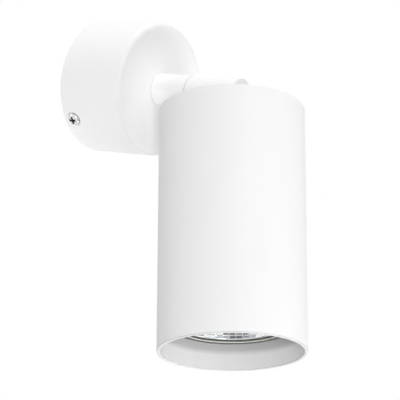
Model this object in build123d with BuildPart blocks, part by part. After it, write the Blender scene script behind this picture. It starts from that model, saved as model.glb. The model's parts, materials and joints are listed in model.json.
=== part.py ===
from build123d import *
from math import acos, asin, atan2, cos, degrees, hypot, radians, sin, sqrt, tan
import os

os.makedirs("parts", exist_ok=True)

# White wall spotlight: a canopy on the wall, a short swivelling arm and a tilting tube head with a lamp.
# Millimetres and degrees. The wall is the plane y = 0, the arm runs along -Y, +Z is up.

# Head tube
head_diameter = 60.0
head_length = 102.4
head_wall = 1.5
head_edge_round = 0.3
head_tilt = 16.4

# Arm
arm_diameter = 13.8
seam_distance = 49.7
seam_gap = 0.2
hinge_distance = 69.9
arm_overhang = 4.6
arm_end_chamfer = 0.2
hinge_drop = 7.75
hinge_clearance = 0.4

# Canopy
canopy_diameter = 56.6
canopy_depth = 31.4
canopy_sheet = 1.0
canopy_rim_radius = 2.0
canopy_groove_depth = 0.8
canopy_groove_radius = 30.0
canopy_crown_rise = 0.5
canopy_pad_margin = 0.6
canopy_screw_angle = 48.1
canopy_screw_setback = 5.0
dimple_depth = 0.9
dimple_radius = 3.0
dimple_flare = 25.0

# Wall plate
plate_radius = 24.0
plate_sheet = 1.5
tab_width = 9.0
tab_margin = 4.0
wall_screw_pitch = 34.0
wall_hole_diameter = 4.5
cable_diameter = 8.5
bush_wall = 1.75
bush_flange = 1.8
bush_flange_height = 2.5
bush_offset = 13.0
earth_x = 14.0
earth_y = 11.0
earth_boss_height = 1.5
earth_boss_wall = 1.6

# Terminal block
pole_pitch = 8.0
pole_count = 2
block_width = 14.0
block_height = 11.0
block_offset = 6.0
block_edge_round = 0.8
pole_height = 5.0
clamp_diameter = 4.0
clamp_wall = 0.7
clamp_inset = 1.5
clamp_screw_diameter = 2.5
clamp_screw_inset = 3.4
clamp_screw_sink = 1.0
clamp_slot_width = 0.5
clamp_slot_depth = 0.6

# Screws: thread diameter, head diameter and head height
small_thread = 2.5
small_head = 4.4
small_head_height = 1.6
medium_thread = 3.0
medium_head = 5.5
medium_head_height = 2.0
large_thread = 4.0
large_head = 7.0
large_head_height = 2.4
head_round_share = 0.6
recess_share = 0.3
recess_width_share = 0.2
recess_depth_share = 0.6
canopy_screw_length = 6.0

# Leads
lead_diameter = 1.5
lead_bundle_gap = 0.1
sleeve_diameter = 4.4
sleeve_bend_gap = 0.3
sleeve_stub = 1.0
lead_entry = 4.0
lead_drop = 5.5
bend_share = 0.45
tag_sheet = 0.8
tag_margin = 1.7
barrel_wall = 0.6
barrel_length = 5.0

# Stem fixing and swivel
stem_tail_diameter = 10.0
stem_tail_spare = 0.4
stem_washer_diameter = 16.0
stem_washer_sheet = 0.8
stem_washer_teeth = 12
stem_washer_tooth = 1.6
stem_nut_flats = 14.0
stem_nut_height = 3.0
swivel_diameter = 8.0
swivel_bore = 5.2
swivel_socket = 8.0
swivel_spare = 0.5
friction_washer_diameter = 13.0
friction_washer_sheet = 1.0
spring_washer_diameter = 12.6
spring_washer_sheet = 0.5
spring_washer_rise = 1.2
swivel_nut_flats = 13.0
swivel_nut_height = 2.5
swivel_nut_count = 2
stop_pin_diameter = 1.5
stop_circle = 11.0
stop_pin_seat = 4.0
stop_pin_reach = 1.8
stop_groove_spare = 0.4
swivel_range = 165.0
stop_margin = 1.5

# Tilt joint
ear_width = 6.0
ear_sheet = 1.5
ear_gap = 4.8
pivot_diameter = 3.5
pivot_washer_diameter = 6.0
pivot_washer_sheet = 0.6
slot_clearance = 0.35

# Head insides
cap_recess = 0.6
cap_sheet = 3.0
cap_skirt = 8.0
cap_skirt_wall = 1.5
tilt_base_length = 28.0
tilt_base_width = 9.0
tilt_screw_pitch = 20.0
cap_thread_depth = 2.4
thread_spare = 0.2
strap_width = 14.0
strap_span = 29.0
strap_flange = 8.5
strap_screw_gap = 1.25
head_earth_depth = 20.5
head_earth_rise = 4.5

# Lamp holder
holder_diameter = 28.0
holder_height = 18.0
holder_floor = 3.0
holder_edge_round = 1.0
holder_screw_gap = 0.75
holder_thread_depth = 8.0
contact_sheet = 0.6
contact_post_diameter = 2.4
contact_post_rise = 0.8
contact_margin = 0.4

# Lamp
lamp_recess = 9.9
lamp_length = 46.5
lamp_diameter = 50.0
lamp_rim_height = 3.4
lamp_rim_wall = 2.4
lamp_rim_round = 0.7
lamp_shell = 1.8
lamp_neck_diameter = 16.0
lamp_neck_depth = 30.0
lamp_neck_length = 8.0
lamp_bulge = 2.6
lamp_glass_sheet = 1.2
lamp_glass_sink = 0.4
lamp_base_diameter = 26.0
lamp_base_flare = 1.5
lamp_base_floor = 4.5
capsule_diameter = 9.0
capsule_length = 20.0
capsule_stem_diameter = 6.0
pin_pitch = 10.0
pin_neck_diameter = 3.0
pin_head_diameter = 5.0
pin_head_height = 2.6
twist_range = 25.0
twist_margin = 1.0

# Clearances, all on the radius or between two faces
thread_clearance = 0.03
press_clearance = 0.02
running_clearance = 0.05
slip_clearance = 0.15
loose_clearance = 0.3
flat_clearance = 0.1

# Worked out sizes
head_radius = head_diameter / 2
head_bore = head_radius - head_wall
arm_radius = arm_diameter / 2
arm_end = hinge_distance + arm_overhang
canopy_radius = canopy_diameter / 2
canopy_floor = canopy_depth + canopy_crown_rise
lead_radius = lead_diameter / 2
lead_circle = lead_diameter / sqrt(3) + lead_bundle_gap
sleeve_radius = sleeve_diameter / 2
swivel_radius = swivel_diameter / 2

# Frames: arm_section holds radius and distance from the wall, plate_back looks out of the wall along the tabs
arm_section = Plane(origin=(0, 0, 0), x_dir=(1, 0, 0), z_dir=(0, 0, -1))
tab_direction = (cos(radians(canopy_screw_angle)), 0, sin(radians(canopy_screw_angle)))
plate_back = Plane(origin=(0, 0, 0), x_dir=tab_direction, z_dir=(0, -1, 0))
plate_front = plate_back.offset(plate_sheet)
hinge_point = Vector(0, -hinge_distance, 0)
arm_side = Plane(origin=hinge_point, x_dir=(0, -1, 0), z_dir=(1, 0, 0))

# In the head frame x stays across, y points away from the wall and z runs down the tube from the tilt axis
head_down = Vector(0, -sin(radians(head_tilt)), -cos(radians(head_tilt)))
head_frame = Plane(origin=hinge_point, x_dir=(1, 0, 0), z_dir=head_down)
head_top = head_frame.offset(hinge_drop)
head_section = Plane(origin=head_top.origin, x_dir=(1, 0, 0), z_dir=-head_frame.y_dir)
head_side = Plane(origin=hinge_point, x_dir=head_frame.y_dir, z_dir=(1, 0, 0))
head_axis = Axis(head_top.origin, head_down)


def pan_screw(thread, head, head_height, length):
    # a cross recessed pan head screw that stands on its seat, with the shank below
    with BuildPart() as screw:
        Cylinder(head / 2, head_height, align=(Align.CENTER, Align.CENTER, Align.MIN))
        fillet(screw.edges().sort_by(Axis.Z)[-1], head_height * head_round_share)
        with BuildSketch(Plane.XY.offset(head_height)):
            Rectangle(2 * recess_share * head, recess_width_share * head)
            Rectangle(recess_width_share * head, 2 * recess_share * head)
        extrude(amount=-head_height * recess_depth_share, mode=Mode.SUBTRACT)
        Cylinder(thread / 2, length, align=(Align.CENTER, Align.CENTER, Align.MAX))
    return screw.part


def bend_radii(name, points):
    # the largest arcs that the runs on each side of every corner leave room for
    runs = [Vector(*b) - Vector(*a) for a, b in zip(points, points[1:])]
    radii = []
    for before, after in zip(runs, runs[1:]):
        half_turn = radians(before.get_angle(after)) / 2
        radii.append(bend_share * min(before.length, after.length) / tan(half_turn))
    print(name, "bend radii", [round(radius, 2) for radius in radii])
    return radii


def canopy_skin(inset):
    # one skin of the half section: side, rounded rim, shallow groove, crowned middle and flat pad for the arm
    side = canopy_radius - inset
    rim_x = canopy_radius - canopy_rim_radius
    rim_y = canopy_depth - canopy_rim_radius
    groove_radius = canopy_groove_radius + inset
    arcs = canopy_rim_radius + canopy_groove_radius
    turn = acos(1 - canopy_groove_depth / arcs)
    groove_x = rim_x - arcs * sin(turn)
    groove_y = rim_y + arcs * cos(turn)
    run = groove_x - pad_radius
    rise = groove_y - canopy_floor
    crown = asin(canopy_groove_radius / hypot(run, rise)) - atan2(rise, run)
    crown_foot = (groove_x - groove_radius * sin(crown), groove_y - groove_radius * cos(crown))
    pad_edge = (pad_radius - inset * tan(crown / 2), canopy_floor - inset)
    Line((side, 0), (side, rim_y))
    CenterArc((rim_x, rim_y), canopy_rim_radius - inset, 0, 90 + degrees(turn))
    CenterArc((groove_x, groove_y), groove_radius, 270 - degrees(crown), degrees(turn + crown))
    Line(crown_foot, pad_edge)
    Line(pad_edge, (stem_hole_radius, canopy_floor - inset))


# Canopy, with a dimple for each side screw
stem_hole_radius = stem_tail_diameter / 2 + flat_clearance
pad_radius = stem_washer_diameter / 2 + canopy_pad_margin
dimple_floor = canopy_radius - dimple_depth
tab_face = dimple_floor - canopy_sheet
boss_radius = dimple_radius + canopy_sheet
boss_top = sqrt((canopy_radius - canopy_sheet / 2) ** 2 - boss_radius**2)
screw_frames = [
    Plane(
        origin=(0, -canopy_screw_setback, 0),
        x_dir=(0, -1, 0),
        z_dir=(side * tab_direction[0], 0, side * tab_direction[2]),
    )
    for side in (1, -1)
]
with BuildPart() as canopy:
    with BuildSketch(arm_section):
        with BuildLine():
            canopy_skin(0)
            canopy_skin(canopy_sheet)
            Line((canopy_radius, 0), (canopy_radius - canopy_sheet, 0))
            Line((stem_hole_radius, canopy_floor), (stem_hole_radius, canopy_floor - canopy_sheet))
        make_face()
    revolve(axis=Axis.Y)
    for frame in screw_frames:
        with BuildSketch(frame.offset(tab_face)):
            Circle(boss_radius)
        extrude(amount=boss_top - tab_face)
        with BuildSketch(frame.offset(dimple_floor)):
            Circle(dimple_radius)
        extrude(amount=2 * dimple_depth, taper=-dimple_flare, mode=Mode.SUBTRACT)
        with BuildSketch(frame.offset(dimple_floor)):
            Circle(medium_thread / 2 + slip_clearance)
        extrude(amount=-2 * canopy_sheet, mode=Mode.SUBTRACT)
canopy.part.label = "canopy"
export_step(canopy.part, "parts/canopy.step")

# Canopy screws, threaded into the tabs of the wall plate
canopy_screw = pan_screw(medium_thread, medium_head, medium_head_height, canopy_screw_length)
with BuildPart() as canopy_screws:
    with Locations(*[frame.offset(dimple_floor) for frame in screw_frames]):
        add(canopy_screw)
canopy_screws.part.label = "canopy_screws"
export_step(canopy_screws.part, "parts/canopy_screws.step")

# Wall plate: a round plate with two bent tabs, holes for wall screws and cable, and a raised earth boss
bush_hole_radius = cable_diameter / 2 + bush_wall
block_centre = -(block_offset + block_width / 2)
earth_boss_radius = large_thread / 2 + earth_boss_wall
tab_height = canopy_screw_setback + tab_margin
with BuildPart() as wall_plate:
    with BuildSketch(plate_back):
        Circle(plate_radius)
        Rectangle(2 * tab_face, tab_width)
        with Locations((-wall_screw_pitch / 2, 0), (wall_screw_pitch / 2, 0)):
            Circle(wall_hole_diameter / 2, mode=Mode.SUBTRACT)
        with Locations((0, bush_offset)):
            Circle(bush_hole_radius, mode=Mode.SUBTRACT)
        with Locations((0, block_centre)):
            Circle(small_thread / 2 + thread_clearance, mode=Mode.SUBTRACT)
    extrude(amount=plate_sheet)
    with BuildSketch(plate_front):
        for side in (1, -1):
            with Locations((side * (tab_face - plate_sheet / 2), 0)):
                Rectangle(plate_sheet, tab_width)
    extrude(amount=tab_height - plate_sheet)
    with BuildSketch(plate_front):
        with Locations((earth_x, earth_y)):
            Circle(earth_boss_radius)
    extrude(amount=earth_boss_height)
    with BuildSketch(plate_back):
        with Locations((earth_x, earth_y)):
            Circle(large_thread / 2 + thread_clearance)
    extrude(amount=plate_sheet + earth_boss_height, mode=Mode.SUBTRACT)
    for frame in screw_frames:
        with BuildSketch(frame.offset(tab_face)):
            Circle(medium_thread / 2 + thread_clearance)
        extrude(amount=-plate_sheet, mode=Mode.SUBTRACT)
wall_plate.part.label = "wall_plate"
export_step(wall_plate.part, "parts/wall_plate.step")

# Cable bush, with its flange on the front of the plate
with BuildPart() as cable_bush:
    with BuildSketch(plate_back):
        with Locations((0, bush_offset)):
            Circle(bush_hole_radius - running_clearance)
    extrude(amount=plate_sheet)
    with BuildSketch(plate_front):
        with Locations((0, bush_offset)):
            Circle(bush_hole_radius + bush_flange)
    extrude(amount=bush_flange_height)
    fillet(cable_bush.edges().group_by(Axis.Y)[0], bush_flange / 2)
    with BuildSketch(plate_back):
        with Locations((0, bush_offset)):
            Circle(cable_diameter / 2)
    extrude(amount=plate_sheet + bush_flange_height, mode=Mode.SUBTRACT)
cable_bush.part.label = "cable_bush"
export_step(cable_bush.part, "parts/cable_bush.step")

# Terminal block: poles side by side, bored through, with a well above each end for the clamp screws
block_length = pole_count * pole_pitch
pole_places = [(i - (pole_count - 1) / 2) * pole_pitch for i in range(pole_count)]
clamp_radius = clamp_diameter / 2
clamp_bore = clamp_radius - clamp_wall
clamp_length = block_width - 2 * clamp_inset
clamp_screw_radius = clamp_screw_diameter / 2
clamp_screw_places = [
    (x, block_centre + side * (block_width / 2 - clamp_screw_inset)) for x in pole_places for side in (1, -1)
]
pole_plane = Plane(
    origin=plate_front.offset(pole_height).from_local_coords((0, block_centre, 0)),
    x_dir=plate_back.x_dir,
    z_dir=plate_back.y_dir,
)
with BuildPart() as terminal_block:
    with BuildSketch(plate_front):
        with Locations((0, block_centre)):
            Rectangle(block_length, block_width)
    extrude(amount=block_height)
    fillet(terminal_block.faces().sort_by(Axis.Y)[0].edges(), block_edge_round)
    with BuildSketch(pole_plane):
        with Locations(*[(x, 0) for x in pole_places]):
            Circle(clamp_radius + running_clearance)
    extrude(amount=block_width, both=True, mode=Mode.SUBTRACT)
    with BuildSketch(plate_front.offset(block_height)):
        with Locations(*clamp_screw_places):
            Circle(clamp_screw_radius + slip_clearance)
    extrude(amount=pole_height - block_height, mode=Mode.SUBTRACT)
    with BuildSketch(plate_front):
        with Locations((0, block_centre)):
            Circle(small_thread / 2 + slip_clearance)
    extrude(amount=block_height, mode=Mode.SUBTRACT)
    with BuildSketch(plate_front.offset(block_height)):
        with Locations((0, block_centre)):
            Circle(small_head / 2 + slip_clearance)
    extrude(amount=-small_head_height, mode=Mode.SUBTRACT)
terminal_block.part.label = "terminal_block"
export_step(terminal_block.part, "parts/terminal_block.step")

# Brass clamps in the block
with BuildPart() as terminal_clamps:
    with BuildSketch(pole_plane):
        with Locations(*[(x, 0) for x in pole_places]):
            Circle(clamp_radius)
            Circle(clamp_bore, mode=Mode.SUBTRACT)
    extrude(amount=clamp_length / 2, both=True)
    with BuildSketch(plate_front.offset(pole_height)):
        with Locations(*clamp_screw_places):
            Circle(clamp_screw_radius + thread_clearance)
    extrude(amount=clamp_diameter, mode=Mode.SUBTRACT)
terminal_clamps.part.label = "terminal_clamps"
export_step(terminal_clamps.part, "parts/terminal_clamps.step")

# Slotted clamp screws, which press on the leads
clamp_screw_top = block_height - clamp_screw_sink
with BuildPart() as terminal_screws:
    with BuildSketch(plate_front.offset(pole_height + lead_radius + press_clearance)):
        with Locations(*clamp_screw_places):
            Circle(clamp_screw_radius)
    extrude(amount=clamp_screw_top - pole_height - lead_radius - press_clearance)
    with BuildSketch(plate_front.offset(clamp_screw_top)):
        with Locations(*clamp_screw_places):
            Rectangle(2 * clamp_screw_diameter, clamp_slot_width)
    extrude(amount=-clamp_slot_depth, mode=Mode.SUBTRACT)
terminal_screws.part.label = "terminal_screws"
export_step(terminal_screws.part, "parts/terminal_screws.step")

# Screw that holds the block to the plate
block_screw_length = block_height - small_head_height + plate_sheet
block_fixing = pan_screw(small_thread, small_head, small_head_height, block_screw_length)
with BuildPart() as block_screw:
    seat = plate_front.offset(block_height - small_head_height)
    with Locations(Plane(seat.from_local_coords((0, block_centre, 0)), seat.x_dir, seat.z_dir)):
        add(block_fixing)
block_screw.part.label = "block_screw"
export_step(block_screw.part, "parts/block_screw.step")

# Earth tag and its screw on the boss of the plate; the tag's barrel points at the arm
tag_radius = large_thread / 2 + tag_margin
barrel_radius = lead_radius + press_clearance + barrel_wall
boss_front = plate_front.offset(earth_boss_height)
earth_reach = sqrt(earth_x**2 + earth_y**2)
earth_ray = Plane(
    origin=boss_front.from_local_coords((earth_x, earth_y, 0)),
    x_dir=plate_back.x_dir * (-earth_x / earth_reach) + plate_back.y_dir * (-earth_y / earth_reach),
    z_dir=plate_back.z_dir,
)
barrel_end = tag_radius + barrel_length
with BuildPart() as earth_tag:
    with BuildSketch(earth_ray):
        Circle(tag_radius)
        Rectangle(barrel_end, 2 * barrel_radius, align=(Align.MIN, Align.CENTER))
        Circle(large_thread / 2 + slip_clearance, mode=Mode.SUBTRACT)
    extrude(amount=tag_sheet)
    barrel_mouth = Plane(
        origin=earth_ray.from_local_coords((barrel_end, 0, barrel_radius)),
        x_dir=earth_ray.y_dir,
        z_dir=-earth_ray.x_dir,
    )
    with BuildSketch(barrel_mouth):
        Circle(barrel_radius)
    extrude(amount=barrel_length)
    with BuildSketch(barrel_mouth):
        Circle(lead_radius + press_clearance)
    extrude(amount=barrel_length, mode=Mode.SUBTRACT)
    with BuildSketch(earth_ray.offset(tag_sheet)):
        Circle(large_head / 2 + slip_clearance)
    extrude(amount=large_head_height, mode=Mode.SUBTRACT)
earth_tag.part.label = "earth_tag"
export_step(earth_tag.part, "parts/earth_tag.step")

earth_screw_length = tag_sheet + earth_boss_height + plate_sheet - loose_clearance
earth_fixing = pan_screw(large_thread, large_head, large_head_height, earth_screw_length)
with BuildPart() as earth_screw:
    with Locations(earth_ray.offset(tag_sheet)):
        add(earth_fixing)
earth_screw.part.label = "earth_screw"
export_step(earth_screw.part, "parts/earth_screw.step")

# Stem: a turned tube whose tail goes through the canopy; its outer end has an arc groove for the stop pin
washer_back = canopy_floor - canopy_sheet - stem_washer_sheet
nut_back = washer_back - stem_nut_height
tail_end = nut_back - stem_tail_spare
stem_front = seam_distance - seam_gap / 2
swivel_hole = swivel_radius + running_clearance
groove_depth = stop_pin_reach - seam_gap + loose_clearance
stop_travel = swivel_range + stop_margin
groove_line = CenterArc((0, 0), stop_circle / 2, 90 - stop_travel, 2 * stop_travel)
with BuildPart() as stem:
    with BuildSketch(Plane.XZ.offset(tail_end)):
        Circle(stem_tail_diameter / 2)
    extrude(amount=canopy_floor - tail_end)
    with BuildSketch(Plane.XZ.offset(canopy_floor)):
        Circle(arm_radius)
    extrude(amount=stem_front - canopy_floor)
    with BuildSketch(Plane.XZ.offset(tail_end)):
        Circle(swivel_hole)
    extrude(amount=stem_front - tail_end, mode=Mode.SUBTRACT)
    with BuildSketch(Plane.XZ.offset(stem_front)):
        SlotArc(groove_line, stop_pin_diameter + stop_groove_spare)
    extrude(amount=-groove_depth, mode=Mode.SUBTRACT)
stem.part.label = "stem"
export_step(stem.part, "parts/stem.step")

# Toothed washer and nut on the stem's tail
with BuildPart() as stem_washer:
    with BuildSketch(Plane.XZ.offset(washer_back)):
        Circle(stem_washer_diameter / 2)
        Circle(stem_hole_radius, mode=Mode.SUBTRACT)
        with PolarLocations(stem_washer_diameter / 2, stem_washer_teeth):
            Rectangle(stem_washer_tooth, stem_washer_tooth, mode=Mode.SUBTRACT)
    extrude(amount=stem_washer_sheet)
stem_washer.part.label = "stem_washer"
export_step(stem_washer.part, "parts/stem_washer.step")

with BuildPart() as stem_nut:
    with BuildSketch(Plane.XZ.offset(nut_back)):
        RegularPolygon(stem_nut_flats / 2, 6, major_radius=False)
        Circle(stem_tail_diameter / 2 + thread_clearance, mode=Mode.SUBTRACT)
    extrude(amount=stem_nut_height)
stem_nut.part.label = "stem_nut"
export_step(stem_nut.part, "parts/stem_nut.step")

# Swivel stack behind the stem: friction washer, cone spring washer and two nuts, all on the swivel tube
friction_front = tail_end - running_clearance
friction_back = friction_front - friction_washer_sheet
spring_back = friction_back - spring_washer_rise
nuts_back = spring_back - swivel_nut_count * swivel_nut_height
swivel_back = nuts_back - swivel_spare
knuckle_back = seam_distance + seam_gap / 2
with BuildPart() as swivel_tube:
    with BuildSketch(Plane.XZ.offset(swivel_back)):
        Circle(swivel_radius)
        Circle(swivel_bore / 2, mode=Mode.SUBTRACT)
    extrude(amount=knuckle_back + swivel_socket - swivel_back)
swivel_tube.part.label = "swivel_tube"
export_step(swivel_tube.part, "parts/swivel_tube.step")

with BuildPart() as friction_washer:
    with BuildSketch(Plane.XZ.offset(friction_back)):
        Circle(friction_washer_diameter / 2)
        Circle(swivel_radius + slip_clearance, mode=Mode.SUBTRACT)
    extrude(amount=friction_washer_sheet)
friction_washer.part.label = "friction_washer"
export_step(friction_washer.part, "parts/friction_washer.step")

with BuildPart() as spring_washer:
    with BuildSketch(arm_section):
        with BuildLine():
            Polyline(
                (swivel_radius + slip_clearance, spring_back),
                (spring_washer_diameter / 2, friction_back - spring_washer_sheet),
                (spring_washer_diameter / 2, friction_back),
                (swivel_radius + slip_clearance, spring_back + spring_washer_sheet),
                close=True,
            )
        make_face()
    revolve(axis=Axis.Y)
spring_washer.part.label = "spring_washer"
export_step(spring_washer.part, "parts/spring_washer.step")

with BuildPart() as swivel_nuts:
    for i in range(swivel_nut_count):
        with BuildSketch(Plane.XZ.offset(nuts_back + i * swivel_nut_height)):
            RegularPolygon(swivel_nut_flats / 2, 6, major_radius=False, rotation=30 * i)
            Circle(swivel_radius + thread_clearance, mode=Mode.SUBTRACT)
        extrude(amount=swivel_nut_height - press_clearance)
swivel_nuts.part.label = "swivel_nuts"
export_step(swivel_nuts.part, "parts/swivel_nuts.step")

# Knuckle: the outer arm, slotted for the ears of the head, with its lower end rounded about the tilt axis
ear_inner = ear_gap / 2
ear_outer = ear_inner + ear_sheet
cheek_face = ear_outer + flat_clearance + pivot_washer_sheet
slot_radius = ear_width / 2 + slot_clearance
pivot_radius = pivot_diameter / 2
far = 2 * arm_diameter
with BuildPart() as knuckle:
    with BuildSketch(Plane.XZ.offset(knuckle_back)):
        Circle(arm_radius)
    extrude(amount=arm_end - knuckle_back)
    chamfer(knuckle.faces().sort_by(Axis.Y)[0].edges(), arm_end_chamfer)
    with BuildSketch(Plane.XZ.offset(knuckle_back)):
        Circle(swivel_radius + thread_clearance)
    extrude(amount=swivel_socket, mode=Mode.SUBTRACT)
    with BuildSketch(Plane.XZ.offset(knuckle_back)):
        Circle(swivel_bore / 2)
    extrude(amount=hinge_distance - knuckle_back, mode=Mode.SUBTRACT)
    with BuildSketch(Plane.XZ.offset(knuckle_back)):
        with Locations((0, stop_circle / 2)):
            Circle(stop_pin_diameter / 2 + press_clearance)
    extrude(amount=stop_pin_seat, mode=Mode.SUBTRACT)
    with BuildSketch(arm_side):
        Circle(slot_radius)
        with Locations((0, -slot_radius)):
            Rectangle(far, far, align=(Align.MIN, Align.MIN))
        with Locations((-slot_radius, 0)):
            Rectangle(far, far, align=(Align.MIN, Align.MIN))
    extrude(amount=cheek_face, both=True, mode=Mode.SUBTRACT)
    with BuildSketch(arm_side):
        Rectangle(far, far, align=(Align.MIN, Align.MIN))
        Circle(hinge_drop - hinge_clearance, mode=Mode.SUBTRACT)
    extrude(amount=arm_diameter, both=True, mode=Mode.SUBTRACT)
    with BuildSketch(arm_side):
        Circle(pivot_radius + press_clearance)
    extrude(amount=arm_diameter, both=True, mode=Mode.SUBTRACT)
knuckle.part.label = "knuckle"
export_step(knuckle.part, "parts/knuckle.step")

# Stop pin in the knuckle, which runs in the stem's groove
with BuildPart() as stop_pin:
    with BuildSketch(Plane.XZ.offset(knuckle_back - stop_pin_reach)):
        with Locations((0, stop_circle / 2)):
            Circle(stop_pin_diameter / 2)
    extrude(amount=stop_pin_reach + stop_pin_seat)
stop_pin.part.label = "stop_pin"
export_step(stop_pin.part, "parts/stop_pin.step")

# Pivot pins, one in each cheek, flush with the outside of the arm and clear of the leads between the ears
with BuildPart() as pivot_pins:
    with BuildSketch(arm_side):
        Circle(pivot_radius)
    extrude(amount=arm_diameter, both=True)
    with BuildSketch(arm_side):
        Circle(pivot_diameter)
    extrude(amount=ear_inner, both=True, mode=Mode.SUBTRACT)
    with BuildSketch(Plane.XZ.offset(hinge_distance - arm_diameter)):
        Circle(arm_radius)
    extrude(amount=2 * arm_diameter, mode=Mode.INTERSECT)
pivot_pins.part.label = "pivot_pins"
export_step(pivot_pins.part, "parts/pivot_pins.step")

with BuildPart() as pivot_washers:
    for side in (1, -1):
        with BuildSketch(arm_side.offset(side * cheek_face)):
            Circle(pivot_washer_diameter / 2)
            Circle(pivot_radius + press_clearance, mode=Mode.SUBTRACT)
        extrude(amount=-side * pivot_washer_sheet)
pivot_washers.part.label = "pivot_washers"
export_step(pivot_washers.part, "parts/pivot_washers.step")

# Sleeve with the leads, from behind the swivel tube up to the tilt axis
sleeve_back = swivel_back - sleeve_stub
with BuildPart() as arm_sleeve:
    with BuildSketch(Plane.XZ.offset(sleeve_back)):
        Circle(sleeve_radius)
    extrude(amount=hinge_distance - sleeve_radius - sleeve_bend_gap - sleeve_back)
arm_sleeve.part.label = "arm_sleeve"
export_step(arm_sleeve.part, "parts/arm_sleeve.step")

# Leads between the sleeve and the terminals, drawn in the frame of the wall plate
earth_turn = degrees(acos(earth_x / earth_reach))
lead_starts = [
    (lead_circle * cos(radians(earth_turn + 120 * i)), lead_circle * sin(radians(earth_turn + 120 * i)))
    for i in range(3)
]
barrel_axis_height = plate_sheet + earth_boss_height + barrel_radius
barrel_stop = earth_reach - large_head / 2 - slip_clearance - lead_diameter
earth_points = [
    (*lead_starts[0], sleeve_back),
    (*lead_starts[0], barrel_axis_height),
    (barrel_stop * earth_x / earth_reach, barrel_stop * earth_y / earth_reach, barrel_axis_height),
]
with BuildPart() as earth_lead:
    with BuildLine(plate_back) as route:
        FilletPolyline(*earth_points, radius=bend_radii("earth_lead", earth_points))
    with BuildSketch(Plane(route.line @ 0, z_dir=route.line % 0)):
        Circle(lead_radius)
    sweep()
earth_lead.part.label = "earth_lead"
export_step(earth_lead.part, "parts/earth_lead.step")

pole_axis_height = plate_sheet + pole_height
live_points = [
    (*lead_starts[1], sleeve_back),
    (*lead_starts[1], sleeve_back - lead_drop),
    (pole_places[0], lead_starts[1][1], pole_axis_height),
    (pole_places[0], -block_offset - clamp_inset - lead_entry, pole_axis_height),
]
with BuildPart() as live_lead:
    with BuildLine(plate_back) as route:
        FilletPolyline(*live_points, radius=bend_radii("live_lead", live_points))
    with BuildSketch(Plane(route.line @ 0, z_dir=route.line % 0)):
        Circle(lead_radius)
    sweep()
live_lead.part.label = "live_lead"
export_step(live_lead.part, "parts/live_lead.step")

neutral_points = [
    (*lead_starts[2], sleeve_back),
    (*lead_starts[2], sleeve_back - lead_drop),
    (pole_places[-1], lead_starts[2][1], pole_axis_height),
    (pole_places[-1], -block_offset - clamp_inset - lead_entry, pole_axis_height),
]
with BuildPart() as neutral_lead:
    with BuildLine(plate_back) as route:
        FilletPolyline(*neutral_points, radius=bend_radii("neutral_lead", neutral_points))
    with BuildSketch(Plane(route.line @ 0, z_dir=route.line % 0)):
        Circle(lead_radius)
    sweep()
neutral_lead.part.label = "neutral_lead"
export_step(neutral_lead.part, "parts/neutral_lead.step")

# Head tube
with BuildPart() as head_tube:
    with BuildSketch(head_top):
        Circle(head_radius)
        Circle(head_bore, mode=Mode.SUBTRACT)
    extrude(amount=head_length)
    fillet(head_tube.edges().filter_by(GeomType.CIRCLE), head_edge_round)
head_tube.part.label = "head_tube"
export_step(head_tube.part, "parts/head_tube.step")

# Head cap: a disc with a skirt inside the top of the tube, with an opening for the ears
cap_top = head_top.offset(cap_recess)
cap_back = cap_recess + cap_sheet
cap_radius = head_bore - running_clearance
leg_face = strap_span / 2
leg_inner = leg_face - ear_sheet
strap_screw_pitch = 2 * (leg_face + strap_screw_gap) + medium_head
tilt_screw_places = [(-tilt_screw_pitch / 2, 0), (tilt_screw_pitch / 2, 0)]
strap_screw_places = [(0, -strap_screw_pitch / 2), (0, strap_screw_pitch / 2)]
with BuildPart() as head_cap:
    with BuildSketch(cap_top):
        Circle(cap_radius)
        Rectangle(2 * (ear_outer + slip_clearance), ear_width + 2 * slip_clearance, mode=Mode.SUBTRACT)
    extrude(amount=cap_sheet)
    with BuildSketch(head_top.offset(cap_back)):
        Circle(cap_radius)
        Circle(cap_radius - cap_skirt_wall, mode=Mode.SUBTRACT)
    extrude(amount=cap_skirt)
    with BuildSketch(head_top.offset(cap_back)):
        with Locations(*tilt_screw_places, *strap_screw_places):
            Circle(medium_thread / 2 + thread_clearance)
    extrude(amount=-cap_thread_depth, mode=Mode.SUBTRACT)
head_cap.part.label = "head_cap"
export_step(head_cap.part, "parts/head_cap.step")

# Tilt bracket: a base under the cap with two ears that go up into the knuckle
base_back = cap_back + ear_sheet
with BuildPart() as tilt_bracket:
    with BuildSketch(head_top.offset(cap_back)):
        Rectangle(tilt_base_length, tilt_base_width)
        with Locations(*tilt_screw_places):
            Circle(medium_thread / 2 + slip_clearance, mode=Mode.SUBTRACT)
    extrude(amount=ear_sheet)
    for side in (1, -1):
        with BuildSketch(head_side.offset(side * ear_inner)):
            Circle(ear_width / 2)
            Rectangle(ear_width, hinge_drop + base_back, align=(Align.CENTER, Align.MIN))
            Circle(pivot_radius + running_clearance, mode=Mode.SUBTRACT)
        extrude(amount=side * ear_sheet)
    with BuildSketch(head_top.offset(cap_back)):
        Circle(sleeve_radius + slip_clearance)
    extrude(amount=ear_sheet, mode=Mode.SUBTRACT)
tilt_bracket.part.label = "tilt_bracket"
export_step(tilt_bracket.part, "parts/tilt_bracket.step")

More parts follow.
